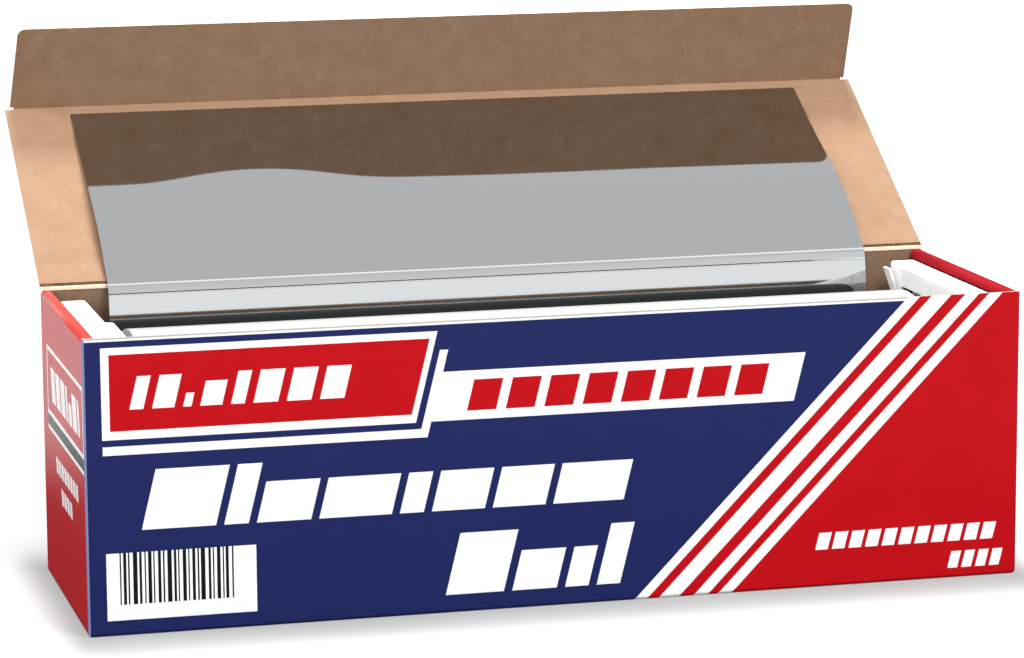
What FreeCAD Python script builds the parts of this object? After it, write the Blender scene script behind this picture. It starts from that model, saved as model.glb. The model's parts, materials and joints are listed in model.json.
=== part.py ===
import FreeCAD, Part
import math
import os
import Sketcher

# Foil roll in its dispenser carton. The carton stands on its base with the lid folded back, the lid's
# front flap folded forward, and the foil's free end drawn up behind the roll and laid on the lid.
# X runs along the roll, Y from the front panel to the back panel, Z up. The origin is the middle of the base.

SIZES = [
    # Carton, outside
    ("carton_depth", 106.7),
    ("rim_height", 109.3),
    ("board", 0.8),
    ("fold_radius", 1.5),
    ("end_wall", 5.0),
    ("corner_flap_length", 38.0),
    ("corner_flap_relief", 2.0),
    # Creases of the lid and its flap
    ("crease_gap", 0.2),
    ("lid_rest_gap", 0.1),
    ("flap_clearance", 0.8),
    ("lid_lean", 57.6),
    ("flap_fold", 85.3),
    ("flap_length", 38.1),
    ("flap_inset", 2.0),
    ("flap_taper", 2.0),
    ("flap_corner", 3.0),
    ("notch_length", 3.5),
    ("notch_width", 1.0),
    # Roll
    ("foil_width", 304.8),
    ("roll_diameter", 101.0),
    ("core_bore", 38.1),
    ("core_wall", 1.95),
    ("core_overhang", 1.0),
    ("roll_end_gap", 9.3),
    ("winding_gap", 0.25),
    ("lap_count", 5),
    ("lap_step", 0.3),
    ("seat_gap", 0.1),
    # Free end of the foil
    ("sheet_thickness", 0.2),
    ("sheet_gap", 0.15),
    ("sheet_on_lid", 102.0),
    ("sheet_wrap", 40.0),
    ("slack_setback", 6.0),
    ("slack_drop", 17.3),
    ("slack_radius", 30.0),
    ("bend_setback", 3.0),
    ("bend_rise", 2.8),
    ("bend_radius", 6.0),
    ("bulge_place", 22.0),
    ("bulge_lift", 2.8),
    ("bulge_radius", 120.0),
    # Card supports beside the roll
    ("card", 0.8),
    ("support_clearance", 1.0),
    ("support_width", 10.3),
    ("support_depth", 88.0),
    ("support_drop", 2.8),
    ("support_fold", 1.2),
    ("ear_thickness", 1.4),
    ("ear_depth", 6.5),
    ("ear_height", 14.0),
    ("ear_reach", 4.4),
    ("ear_setback", 3.0),
    ("ear_drop", 1.6),
    ("slot_length", 22.0),
    ("slot_height", 2.4),
    ("slot_drop", 8.2),
    ("slot_place", 10.0),
    ("seam_width", 6.5),
    ("seam_thickness", 0.5),
    ("seam_place", 1.5),
]

doc = FreeCAD.newDocument("foil_roll")
sheet = doc.addObject("Spreadsheet::Sheet", "Sizes")
for row, (alias, size) in enumerate(SIZES, start=1):
    sheet.set("A%d" % row, alias)
    sheet.set("B%d" % row, str(size))
    sheet.setAlias("B%d" % row, alias)
doc.recompute()

# Places that several pieces share, each worked out from the sizes above. Along X the carton is as long
# as the roll, its supports and the end walls need. The lid's crease runs over the back panel's top,
# level with the lid's outer face when it is shut.
SUPPORT_INNER = "(Sizes.foil_width / 2 + Sizes.roll_end_gap)"
SUPPORT_OUTER = "(Sizes.foil_width / 2 + Sizes.roll_end_gap + Sizes.support_width)"
END_INNER = "(Sizes.foil_width / 2 + Sizes.roll_end_gap + Sizes.support_width + Sizes.support_clearance)"
HALF_LENGTH = "(%s + Sizes.end_wall)" % END_INNER
HALF_DEPTH = "(Sizes.carton_depth / 2)"
CREASE_RADIUS = "(Sizes.board * 0.48)"
HINGE_Z = "(Sizes.rim_height + Sizes.lid_rest_gap + Sizes.board)"
LID_LENGTH = "(Sizes.carton_depth + Sizes.flap_clearance)"
CORE_RADIUS = "(Sizes.core_bore / 2 + Sizes.core_wall)"
ROLL_Z = "(Sizes.board + Sizes.seat_gap + Sizes.roll_diameter / 2)"


def size_of(expression):
    """The number that an expression of the sheet's sizes gives."""
    return float(sheet.evalExpression(expression))


def new_body(label):
    body = doc.addObject("PartDesign::Body", label)
    body.Label = label
    return body


def plane_of(body, role):
    return [item for item in body.Origin.OriginFeatures if item.Role == role][0]


def sketch_on(body, name, role, outlines, lift="0"):
    """A sketch on one of the body's own planes. Each outline is a closed polygon of (across, up)
    expressions, and every corner is held by two distances from the origin."""
    sketch = body.newObject("Sketcher::SketchObject", name)
    sketch.AttachmentSupport = [(plane_of(body, role), "")]
    sketch.MapMode = "FlatFace"
    sketch.setExpression("AttachmentOffset.Base.z", lift)
    for outline in outlines:
        first = sketch.GeometryCount
        spots = [FreeCAD.Vector(size_of(across), size_of(up), 0) for across, up in outline]
        count = len(spots)
        for index in range(count):
            sketch.addGeometry(Part.LineSegment(spots[index], spots[(index + 1) % count]), False)
        for index in range(count):
            joined = first + (index + 1) % count
            sketch.addConstraint(Sketcher.Constraint("Coincident", first + index, 2, joined, 1))
        for index, (across, up) in enumerate(outline):
            for kind, expression, spot in (
                ("DistanceX", across, spots[index].x),
                ("DistanceY", up, spots[index].y),
            ):
                held = sketch.addConstraint(Sketcher.Constraint(kind, -1, 1, first + index, 1, spot))
                sketch.setExpression("Constraints[%d]" % held, expression)
    return sketch


def pad(body, name, sketch, length, midplane=False, backwards=False):
    feature = body.newObject("PartDesign::Pad", name)
    feature.Profile = sketch
    feature.Refine = True
    feature.setExpression("Length", length)
    feature.Midplane = midplane
    feature.Reversed = backwards
    doc.recompute()
    return feature


def pocket(body, name, sketch, length):
    before = body.Shape.Volume
    feature = body.newObject("PartDesign::Pocket", name)
    feature.Profile = sketch
    feature.Refine = True
    feature.setExpression("Length", length)
    feature.Midplane = True
    doc.recompute()
    if not body.Shape.Volume < before:
        raise RuntimeError(name + " cuts nothing")
    return feature


def round_edges(body, name, radius, wanted):
    """Round the edges of the body's last feature that the test accepts."""
    base = body.Tip
    edges = ["Edge%d" % number for number, edge in enumerate(base.Shape.Edges, start=1) if wanted(edge)]
    feature = body.newObject("PartDesign::Fillet", name)
    feature.Base = (base, edges)
    feature.setExpression("Radius", radius)
    doc.recompute()
    return feature


def close_to(value, target):
    return abs(value - target) < 1e-4


def runs_along(edge, axis):
    """True for a straight edge parallel to the axis, which is given as x, y or z."""
    if edge.Degenerated or not isinstance(edge.Curve, Part.Line):
        return False
    return abs(getattr(edge.Curve.Direction, axis)) > 0.999


def make_carton():
    """Base, front and back in one bent strip of board. Each end is a panel that rolls over its corner
    flaps and comes down inside, so that it is two plies with a flat rolled top."""
    body = new_body("carton_body")
    front, back = "-" + HALF_DEPTH, HALF_DEPTH
    strip = sketch_on(body, "strip_outline", "YZ_Plane", [[
        (front, "Sizes.rim_height"),
        (front, "0"),
        (back, "0"),
        (back, "Sizes.rim_height"),
        (back + " - Sizes.board", "Sizes.rim_height"),
        (back + " - Sizes.board", "Sizes.board"),
        (front + " + Sizes.board", "Sizes.board"),
        (front + " + Sizes.board", "Sizes.rim_height"),
    ]])
    pad(body, "strip", strip, "2 * " + HALF_LENGTH, midplane=True)

    outside, inside = "-" + HALF_LENGTH, "-" + END_INNER
    rolled = sketch_on(body, "rolled_end_outline", "XZ_Plane", [[
        (outside, "0"),
        (outside, "Sizes.rim_height"),
        (inside, "Sizes.rim_height"),
        (inside, "Sizes.board"),
        (inside + " - Sizes.board", "Sizes.board"),
        (inside + " - Sizes.board", "Sizes.rim_height - Sizes.board"),
        (outside + " + Sizes.board", "Sizes.rim_height - Sizes.board"),
        (outside + " + Sizes.board", "0"),
    ]])
    rolled_end = pad(body, "rolled_end", rolled, "Sizes.carton_depth", midplane=True)

    flap_outer = "-" + HALF_LENGTH + " + Sizes.end_wall / 2 - Sizes.board / 2"
    flap_inner = flap_outer + " + Sizes.board"
    flap_root = "(" + HALF_DEPTH + " - Sizes.board / 2)"
    flap_tip = "(" + flap_root + " - Sizes.corner_flap_length)"
    flaps = sketch_on(body, "corner_flap_outline", "XY_Plane", [
        [(flap_outer, "-" + flap_root), (flap_inner, "-" + flap_root),
         (flap_inner, "-" + flap_tip), (flap_outer, "-" + flap_tip)],
        [(flap_outer, flap_tip), (flap_inner, flap_tip),
         (flap_inner, flap_root), (flap_outer, flap_root)],
    ], lift="Sizes.board + Sizes.corner_flap_relief")
    corner_flaps = pad(
        body, "corner_flaps", flaps,
        "Sizes.rim_height - 2 * Sizes.board - 2 * Sizes.corner_flap_relief")

    ends = body.newObject("PartDesign::Mirrored", "other_end")
    ends.Originals = [rolled_end, corner_flaps]
    ends.MirrorPlane = (plane_of(body, "YZ_Plane"), [""])
    ends.Refine = True
    body.Tip = ends
    doc.recompute()

    length, depth = size_of(HALF_LENGTH), size_of(HALF_DEPTH)
    rim, inner = size_of("Sizes.rim_height"), size_of(END_INNER)

    def outer_fold(edge):
        middle = edge.CenterOfMass
        at_base = close_to(middle.z, 0) and not runs_along(edge, "z")
        at_corner = (runs_along(edge, "z") and close_to(abs(middle.x), length)
                     and close_to(abs(middle.y), depth))
        return at_base or at_corner

    def rolled_top(edge):
        middle = edge.CenterOfMass
        return (runs_along(edge, "y") and close_to(middle.z, rim)
                and (close_to(abs(middle.x), length) or close_to(abs(middle.x), inner)))

    round_edges(body, "outer_folds", "Sizes.fold_radius",
                lambda edge: outer_fold(edge) or rolled_top(edge))
    return body


def make_lid():
    """The lid panel, drawn flat from its crease along Y and then leaned back about that crease, which
    is a line of its outer face."""
    body = new_body("lid_panel")
    side, waist = HALF_LENGTH, HALF_LENGTH + " - Sizes.notch_length"
    tip = LID_LENGTH + " - Sizes.crease_gap"
    notch = LID_LENGTH + " - Sizes.notch_width"
    outline = sketch_on(body, "lid_outline", "XY_Plane", [[
        ("-" + side, "Sizes.crease_gap"),
        (side, "Sizes.crease_gap"),
        (side, notch),
        (waist, notch),
        (waist, tip),
        ("-(" + waist + ")", tip),
        ("-(" + waist + ")", notch),
        ("-" + side, notch),
    ]])
    pad(body, "lid_board", outline, "Sizes.board")
    far = size_of(tip)
    round_edges(body, "lid_crease", CREASE_RADIUS,
                lambda edge: runs_along(edge, "x") and close_to(edge.CenterOfMass.y, far))
    body.Placement = FreeCAD.Placement(FreeCAD.Vector(), FreeCAD.Rotation(FreeCAD.Vector(1, 0, 0), 30))
    body.setExpression("Placement.Base.y", HALF_DEPTH)
    body.setExpression("Placement.Base.z", HINGE_Z)
    body.setExpression("Placement.Rotation.Angle", "90 deg - Sizes.lid_lean * 1 deg")
    return body


def make_flap():
    """The lid's front flap, tapered to its round corners and folded towards the lid's inside about
    the middle of the board."""
    body = new_body("lid_front_flap")
    waist = HALF_LENGTH + " - Sizes.notch_length"
    root = HALF_LENGTH + " - Sizes.flap_inset"
    tip = root + " - Sizes.flap_taper"
    outline = sketch_on(body, "flap_outline", "XY_Plane", [[
        ("-(" + waist + ")", "Sizes.crease_gap"),
        (waist, "Sizes.crease_gap"),
        (waist, "Sizes.notch_width"),
        (root, "Sizes.notch_width"),
        (tip, "Sizes.flap_length"),
        ("-(" + tip + ")", "Sizes.flap_length"),
        ("-(" + root + ")", "Sizes.notch_width"),
        ("-(" + waist + ")", "Sizes.notch_width"),
    ]])
    pad(body, "flap_board", outline, "Sizes.board", midplane=True)
    far = size_of("Sizes.flap_length")
    near = size_of("Sizes.crease_gap")
    round_edges(body, "flap_corners", "Sizes.flap_corner",
                lambda edge: runs_along(edge, "z") and close_to(edge.CenterOfMass.y, far))
    round_edges(body, "flap_crease", CREASE_RADIUS,
                lambda edge: runs_along(edge, "x") and close_to(edge.CenterOfMass.y, near))
    body.Placement = FreeCAD.Placement(FreeCAD.Vector(), FreeCAD.Rotation(FreeCAD.Vector(1, 0, 0), 100))
    lean = "(Sizes.lid_lean * 1 deg)"
    half_board = "Sizes.board / 2"
    body.setExpression("Placement.Base.y",
                       "%s + %s * sin%s - %s * cos%s" % (HALF_DEPTH, LID_LENGTH, lean, half_board, lean))
    body.setExpression("Placement.Base.z",
                       "%s + %s * cos%s + %s * sin%s" % (HINGE_Z, LID_LENGTH, lean, half_board, lean))
    body.setExpression("Placement.Rotation.Angle",
                       "90 deg - Sizes.lid_lean * 1 deg + Sizes.flap_fold * 1 deg")
    return body


def make_support(label, turn):
    """A channel of folded card that fills the room between the roll's end and the carton's end. A
    doubled ear stands off its inner leg, and a glued seam and a slot show on that leg. Both supports
    are the same piece, which is drawn at the right end, and the left one is turned round."""
    body = new_body(label)
    outer, inner = SUPPORT_OUTER, SUPPORT_INNER
    foot = "(Sizes.board + Sizes.seat_gap)"
    top = "(Sizes.rim_height - Sizes.support_drop)"
    channel = sketch_on(body, label + "_channel_outline", "XZ_Plane", [[
        (outer, foot),
        (outer, top),
        (inner, top),
        (inner, foot),
        (inner + " + Sizes.card", foot),
        (inner + " + Sizes.card", top + " - Sizes.card"),
        (outer + " - Sizes.card", top + " - Sizes.card"),
        (outer + " - Sizes.card", foot),
    ]])
    pad(body, label + "_channel", channel, "Sizes.support_depth", midplane=True)
    top_z = size_of(top)
    sides = (size_of(outer), size_of(inner))
    round_edges(body, label + "_folds", "Sizes.support_fold",
                lambda edge: (runs_along(edge, "y") and close_to(edge.CenterOfMass.z, top_z)
                              and any(close_to(edge.CenterOfMass.x, side) for side in sides)))

    leg_middle = inner + " + Sizes.card / 2"
    ear_top = "(" + top + " - Sizes.ear_drop)"
    ear_root = "(" + ear_top + " - Sizes.ear_height)"
    ear_back = "(Sizes.support_depth / 2 - Sizes.ear_setback)"
    ear = sketch_on(body, label + "_ear_outline", "XZ_Plane", [[
        (leg_middle, ear_root),
        (leg_middle, ear_root + " + Sizes.ear_thickness"),
        (inner + " - Sizes.ear_reach + Sizes.ear_thickness", ear_top),
        (inner + " - Sizes.ear_reach", ear_top),
    ]], lift="-" + ear_back)
    pad(body, label + "_ear", ear, "Sizes.ear_depth")

    seam_front = "(Sizes.seam_place - Sizes.seam_width / 2)"
    seam_back = "(Sizes.seam_place + Sizes.seam_width / 2)"
    seam = sketch_on(body, label + "_seam_outline", "YZ_Plane", [[
        (seam_front, foot),
        (seam_back, foot),
        (seam_back, top + " - Sizes.support_fold"),
        (seam_front, top + " - Sizes.support_fold"),
    ]], lift=leg_middle)
    pad(body, label + "_seam", seam, "Sizes.card / 2 + Sizes.seam_thickness", backwards=True)

    slot_top = "(" + top + " - Sizes.slot_drop)"
    slot = sketch_on(body, label + "_slot_outline", "YZ_Plane", [[
        ("Sizes.slot_place", slot_top + " - Sizes.slot_height"),
        ("Sizes.slot_place + Sizes.slot_length", slot_top + " - Sizes.slot_height"),
        ("Sizes.slot_place + Sizes.slot_length", slot_top),
        ("Sizes.slot_place", slot_top),
    ]], lift=leg_middle)
    pocket(body, label + "_slot", slot, "Sizes.card * 2")
    body.Placement = FreeCAD.Placement(FreeCAD.Vector(), FreeCAD.Rotation(FreeCAD.Vector(0, 0, 1), turn))
    return body


def make_core():
    """The paperboard tube that the foil is wound on, revolved about the roll's axis."""
    body = new_body("core_tube")
    half = "(Sizes.foil_width / 2 + Sizes.core_overhang)"
    wall = sketch_on(body, "core_outline", "XZ_Plane", [[
        ("-" + half, "Sizes.core_bore / 2"),
        (half, "Sizes.core_bore / 2"),
        (half, CORE_RADIUS),
        ("-" + half, CORE_RADIUS),
    ]])
    turn_about_roll_axis(body, "core_wall", wall)
    return body


def make_roll():
    """The wound foil. Its ends are stepped rings, because the laps drift sideways as they are wound."""
    body = new_body("foil_roll")
    bore = "(" + CORE_RADIUS + " + Sizes.winding_gap)"
    outer = "(Sizes.roll_diameter / 2)"
    half = "(Sizes.foil_width / 2)"
    laps = int(size_of("Sizes.lap_count"))
    corners = []
    for side in (1, -1):
        rings = range(laps)
        for lap in rings if side > 0 else reversed(rings):
            drift = "(%s)" % (half + (" - Sizes.lap_step" if lap % 2 else ""))
            edges = ["(%s + (%s - %s) * %d / Sizes.lap_count)" % (bore, outer, bore, lap + step)
                     for step in (0, 1)]
            for edge in edges if side > 0 else reversed(edges):
                corners.append(("%d * %s" % (side, drift), edge))
    section = sketch_on(body, "roll_outline", "XZ_Plane", [corners])
    turn_about_roll_axis(body, "winding", section)
    return body


def turn_about_roll_axis(body, name, sketch):
    """Revolve a section about X, and lift the body so that the roll lies on the carton's base."""
    feature = body.newObject("PartDesign::Revolution", name)
    feature.Profile = sketch
    feature.Refine = True
    feature.ReferenceAxis = (sketch, ["H_Axis"])
    feature.Angle = 360
    body.setExpression("Placement.Base.z", ROLL_Z)
    doc.recompute()
    return feature


def rounded_path(corners, radii):
    """Edges of straight runs through the corners, each inner corner rounded to its radius."""
    edges = []
    start = corners[0]
    for before, corner, after, radius in zip(corners, corners[1:], corners[2:], radii):
        towards = (corner - before).normalize()
        away = (after - corner).normalize()
        turn = towards.getAngle(away)
        trim = radius * math.tan(turn / 2)
        enter, leave = corner - towards * trim, corner + away * trim
        inward = (away - towards).normalize()
        middle = corner + inward * (radius / math.cos(turn / 2) - radius)
        edges.append(Part.LineSegment(start, enter).toShape())
        edges.append(Part.Arc(enter, middle, leave).toShape())
        start = leave
    edges.append(Part.LineSegment(start, corners[-1]).toShape())
    return edges


def make_sheet():
    """The foil's free end: the last lap behind the roll, a slack rise, the bend over the lid's hinge,
    and the length on the lid, which bulges off it and comes down to it at the free end."""
    thickness, gap = size_of("Sizes.sheet_thickness"), size_of("Sizes.sheet_gap")
    half = size_of("Sizes.foil_width") / 2
    wall = size_of(HALF_DEPTH) - size_of("Sizes.board")
    rim = size_of("Sizes.rim_height")
    axis = FreeCAD.Vector(-half, 0, size_of(ROLL_Z))
    lap = size_of("Sizes.roll_diameter") / 2 + gap

    def at(y, z):
        return FreeCAD.Vector(-half, y, z)

    slack = at(wall - size_of("Sizes.slack_setback"), rim - size_of("Sizes.slack_drop"))
    bend = at(wall - size_of("Sizes.bend_setback"), rim + size_of("Sizes.bend_rise"))

    # The rise leaves the roll's back where the radius is square to it
    reach = slack - axis
    tangent = math.atan2(reach.z, reach.y) - math.acos(lap / reach.Length)

    def on_roll(angle):
        return axis + at(0, 0).sub(at(-lap * math.cos(angle), -lap * math.sin(angle)))

    # A point off the lid's inside, the given distance up from its crease
    slope = math.radians(90 - size_of("Sizes.lid_lean"))
    up_lid = FreeCAD.Vector(0, math.cos(slope), math.sin(slope))
    off_lid = FreeCAD.Vector(0, -math.sin(slope), math.cos(slope))
    hinge = at(size_of(HALF_DEPTH), size_of(HINGE_Z))

    def off_inside(distance, lift):
        return hinge + up_lid * distance + off_lid * (size_of("Sizes.board") + lift)

    wrap = math.radians(size_of("Sizes.sheet_wrap"))
    leave = on_roll(tangent)
    lapped = Part.Arc(on_roll(tangent - wrap), on_roll(tangent - wrap / 2), leave).toShape()
    bulge = off_inside(size_of("Sizes.bulge_place"), size_of("Sizes.bulge_lift"))
    # The path is the sheet's face away from the lid, so the free end stands off by a thickness too
    free_end = off_inside(size_of("Sizes.sheet_on_lid"), gap + thickness)
    corners = [leave, slack, bend, bulge, free_end]
    radii = [size_of("Sizes." + name) for name in ("slack_radius", "bend_radius", "bulge_radius")]
    path = Part.Wire([lapped] + rounded_path(corners, radii))
    ribbon = path.extrude(FreeCAD.Vector(2 * half, 0, 0))
    middle = ribbon.Faces[0].CenterOfMass
    outwards = ribbon.Faces[0].normalAt(0, 0).dot(middle - axis)
    solid = ribbon.makeOffsetShape(math.copysign(thickness, outwards), 1e-4, fill=True)
    if solid.ShapeType != "Solid":
        solid = Part.Solid(Part.Shell(solid.Faces))
    if solid.Volume < 0:
        solid.reverse()
    feature = doc.addObject("Part::Feature", "foil_sheet")
    feature.Shape = solid
    feature.Label = "foil_sheet"
    feature.Placement = FreeCAD.Placement()
    return feature


pieces = [
    make_carton(),
    make_lid(),
    make_flap(),
    make_support("end_support_left", turn=180),
    make_support("end_support_right", turn=0),
    make_core(),
    make_roll(),
]
doc.recompute()
pieces.append(make_sheet())
doc.recompute()

for item in doc.Objects:
    if "Invalid" in item.State or "Error" in item.State:
        raise RuntimeError(item.Name + " is " + ", ".join(item.State))
for piece in pieces:
    if piece.Shape.isNull() or not piece.Shape.isValid():
        raise RuntimeError(piece.Label + " has no valid shape")

os.makedirs("parts", exist_ok=True)
for piece in pieces:
    piece.Shape.exportStep(os.path.join("parts", piece.Label + ".step"))
    box = piece.Shape.BoundBox
    print("%-18s solids %d  volume %9.1f  X %7.1f %7.1f  Y %7.1f %7.1f  Z %7.1f %7.1f" % (
        piece.Label, len(piece.Shape.Solids), piece.Shape.Volume,
        box.XMin, box.XMax, box.YMin, box.YMax, box.ZMin, box.ZMax))
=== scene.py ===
import json
import math

import bmesh
import bpy
from mathutils import Matrix, Vector


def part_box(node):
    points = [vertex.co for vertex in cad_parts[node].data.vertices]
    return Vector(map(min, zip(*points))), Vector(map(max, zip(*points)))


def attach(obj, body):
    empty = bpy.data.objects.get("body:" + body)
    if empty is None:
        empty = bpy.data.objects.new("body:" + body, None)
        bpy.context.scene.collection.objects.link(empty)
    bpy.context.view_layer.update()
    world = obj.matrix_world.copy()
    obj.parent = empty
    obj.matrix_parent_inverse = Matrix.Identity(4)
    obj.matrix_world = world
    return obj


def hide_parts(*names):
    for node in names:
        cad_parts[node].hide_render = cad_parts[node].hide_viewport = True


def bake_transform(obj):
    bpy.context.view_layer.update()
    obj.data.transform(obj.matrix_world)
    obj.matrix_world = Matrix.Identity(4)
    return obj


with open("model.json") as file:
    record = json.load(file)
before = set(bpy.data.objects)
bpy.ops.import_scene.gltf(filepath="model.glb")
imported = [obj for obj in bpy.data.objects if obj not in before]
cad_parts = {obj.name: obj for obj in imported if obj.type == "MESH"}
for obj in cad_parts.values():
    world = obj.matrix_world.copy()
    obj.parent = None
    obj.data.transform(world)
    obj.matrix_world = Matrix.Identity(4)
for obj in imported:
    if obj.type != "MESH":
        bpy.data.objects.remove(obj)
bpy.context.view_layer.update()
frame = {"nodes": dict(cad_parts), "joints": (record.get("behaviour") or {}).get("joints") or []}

# Foil roll in its dispenser carton. Meshes are drawn in millimetres, in the frame's own axes: X along
# the roll, Y from the front panel to the back panel, Z up. They are scaled to metres when finished.
MM = 0.001
X, Y, Z = Vector((1, 0, 0)), Vector((0, 1, 0)), Vector((0, 0, 1))


def box_of(node):
    low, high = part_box(node)
    return low / MM, high / MM


def joint_of(name):
    return [joint for joint in frame["joints"] if joint["name"] == name][0]


# Places taken from the frame
HALF_LENGTH, HALF_DEPTH, RIM = box_of("carton_body")[1]
HINGE = Vector(joint_of("lid_hinge")["pos_m"]) / MM
FLAP_HINGE = Vector(joint_of("flap_fold")["pos_m"]) / MM
FLAP_FOLD = math.radians(-joint_of("flap_fold")["range_deg"][0])
ROLL_LOW, ROLL_HIGH = box_of("foil_roll")
ROLL_RADIUS = (ROLL_HIGH.z - ROLL_LOW.z) / 2
ROLL_AXIS_Z = (ROLL_HIGH.z + ROLL_LOW.z) / 2
HALF_FOIL = ROLL_HIGH.x
FLAP_ROOT = box_of("lid_front_flap")[1].x

# The carton's board
BOARD = 0.8
FOLD_RADIUS = 1.5
END_WALL = 5.0
FOLD_SEGMENTS = 4
CREASE_GAP = 0.2
NOTCH_LENGTH = 3.5
NOTCH_WIDTH = 1.0
FLAP_LENGTH = 38.1
FLAP_TAPER = 2.0
FLAP_CORNER = 3.0
LID_LEAN = math.radians(57.6)
LID_LENGTH = 107.5
SLIVER = 1e-3
# A face whose normal is this close to an axis belongs to a flat panel
FLAT = 0.999

# Directions up the lid from its crease and square off its inside, and up the flap and off its inside
LID_SLOPE = math.pi / 2 - LID_LEAN
UP_LID = Vector((0, math.cos(LID_SLOPE), math.sin(LID_SLOPE)))
OFF_LID = Vector((0, -math.sin(LID_SLOPE), math.cos(LID_SLOPE)))
UP_FLAP = Vector((0, math.cos(LID_SLOPE + FLAP_FOLD), math.sin(LID_SLOPE + FLAP_FOLD)))
OFF_FLAP = Vector((0, -math.sin(LID_SLOPE + FLAP_FOLD), math.cos(LID_SLOPE + FLAP_FOLD)))


def node_in(tree, kind, links=None, **settings):
    """Adds a shader node. Settings are its own fields, and links give its inputs, each by name or
    number, as a value or as the output of another node."""
    made = tree.nodes.new("ShaderNode" + kind)
    for name, value in settings.items():
        setattr(made, name, value)
    for name, value in (links or {}).items():
        if isinstance(value, bpy.types.NodeSocket):
            tree.links.new(value, made.inputs[name])
        else:
            made.inputs[name].default_value = value
    return made


def colour(hex_code):
    """The linear colour of an sRGB hex value."""
    channels = [int(hex_code[at:at + 2], 16) / 255 for at in (1, 3, 5)]
    return tuple(c / 12.92 if c <= 0.04045 else ((c + 0.055) / 1.055) ** 2.4 for c in channels) + (1,)


def per_metre(size):
    """The texture scale that gives a pattern of this size in millimetres."""
    return 1 / (size * MM)


def new_material(name):
    material = bpy.data.materials.new(name)
    material.use_nodes = True
    material.node_tree.nodes.clear()
    return material, material.node_tree


def close_material(tree, shader):
    node_in(tree, "OutputMaterial", {"Surface": shader})


def kraft_board(name, base, fibre):
    """The unprinted side of recycled boxboard: matt, with short fibres pressed flat in every direction
    and a few dark specks of old ink."""
    material, tree = new_material(name)
    place = node_in(tree, "TexCoord").outputs["Object"]
    mottle = node_in(tree, "TexNoise", {"Vector": place, "Scale": per_metre(9), "Detail": 5.0,
                                        "Roughness": 0.65})
    tone = node_in(tree, "ValToRGB", {"Fac": mottle.outputs["Fac"]})
    tone.color_ramp.elements[0].position = 0.3
    tone.color_ramp.elements[0].color = colour(fibre)
    tone.color_ramp.elements[1].position = 0.62
    tone.color_ramp.elements[1].color = colour(base)
    warp = node_in(tree, "TexNoise", {"Vector": place, "Scale": per_metre(5), "Detail": 2.0})
    bent = node_in(tree, "VectorMath", {0: warp.outputs["Color"], 1: (0.004, 0.004, 0.004)},
                   operation="MULTIPLY")
    moved = node_in(tree, "VectorMath", {0: place, 1: bent.outputs[0]}, operation="ADD")
    hair = node_in(tree, "TexVoronoi", {"Vector": moved.outputs[0], "Scale": per_metre(2.4)},
                   feature="DISTANCE_TO_EDGE")
    hair_mask = node_in(tree, "MapRange", {"Value": hair.outputs["Distance"], "From Min": 0.0,
                                           "From Max": 0.06, "To Min": 0.22, "To Max": 0.0})
    patch = node_in(tree, "TexNoise", {"Vector": place, "Scale": per_metre(7), "Detail": 1.0})
    patch_mask = node_in(tree, "MapRange", {"Value": patch.outputs["Fac"], "From Min": 0.5, "From Max": 0.62})
    hair_share = node_in(tree, "Math", {0: hair_mask.outputs[0], 1: patch_mask.outputs[0]},
                         operation="MULTIPLY")
    fibred = node_in(tree, "Mix", {"Factor": hair_share.outputs[0], "A": tone.outputs["Color"],
                                   "B": colour("#D8BC9C")}, data_type="RGBA")
    speck = node_in(tree, "TexVoronoi", {"Vector": place, "Scale": per_metre(5), "Randomness": 1.0})
    speck_mask = node_in(tree, "MapRange", {"Value": speck.outputs["Distance"], "From Min": 0.03,
                                            "From Max": 0.075, "To Min": 0.75, "To Max": 0.0})
    specked = node_in(tree, "Mix", {"Factor": speck_mask.outputs[0], "A": fibred.outputs["Result"],
                                    "B": colour("#4E382A")}, data_type="RGBA")
    tooth = node_in(tree, "TexNoise", {"Vector": place, "Scale": per_metre(0.6), "Detail": 3.0})
    bump = node_in(tree, "Bump", {"Height": tooth.outputs["Fac"], "Strength": 0.25, "Distance": 0.0002})
    shader = node_in(tree, "BsdfPrincipled", {"Base Color": specked.outputs["Result"], "Roughness": 0.85,
                                              "Specular IOR Level": 0.3, "Normal": bump.outputs["Normal"]})
    close_material(tree, shader.outputs["BSDF"])
    return material


def printed_board(name, ink, gloss=0.1, roughness=0.3):
    """Clay-coated board, offset printed and varnished: an even ink with a faint paper tooth under a
    smooth coat that mirrors at low angles. Gloss and roughness are given for each ink."""
    material, tree = new_material(name)
    place = node_in(tree, "TexCoord").outputs["Object"]
    mottle = node_in(tree, "TexNoise", {"Vector": place, "Scale": per_metre(14), "Detail": 6.0,
                                        "Roughness": 0.6})
    value = node_in(tree, "MapRange", {"Value": mottle.outputs["Fac"], "From Min": 0.3, "From Max": 0.7,
                                       "To Min": 0.95, "To Max": 1.04})
    toned = node_in(tree, "HueSaturation", {"Value": value.outputs[0], "Color": colour(ink)})
    tooth = node_in(tree, "TexNoise", {"Vector": place, "Scale": per_metre(1.1), "Detail": 2.0})
    wave = node_in(tree, "TexNoise", {"Vector": place, "Scale": per_metre(60), "Detail": 1.0})
    height = node_in(tree, "Math", {0: wave.outputs["Fac"], 1: 12.0, 2: tooth.outputs["Fac"]},
                     operation="MULTIPLY_ADD")
    bump = node_in(tree, "Bump", {"Height": height.outputs[0], "Strength": 0.06, "Distance": 0.0002})
    shader = node_in(tree, "BsdfPrincipled", {"Base Color": toned.outputs["Color"], "Roughness": roughness,
                                              "Specular IOR Level": gloss, "Normal": bump.outputs["Normal"]})
    close_material(tree, shader.outputs["BSDF"])
    return material


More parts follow.
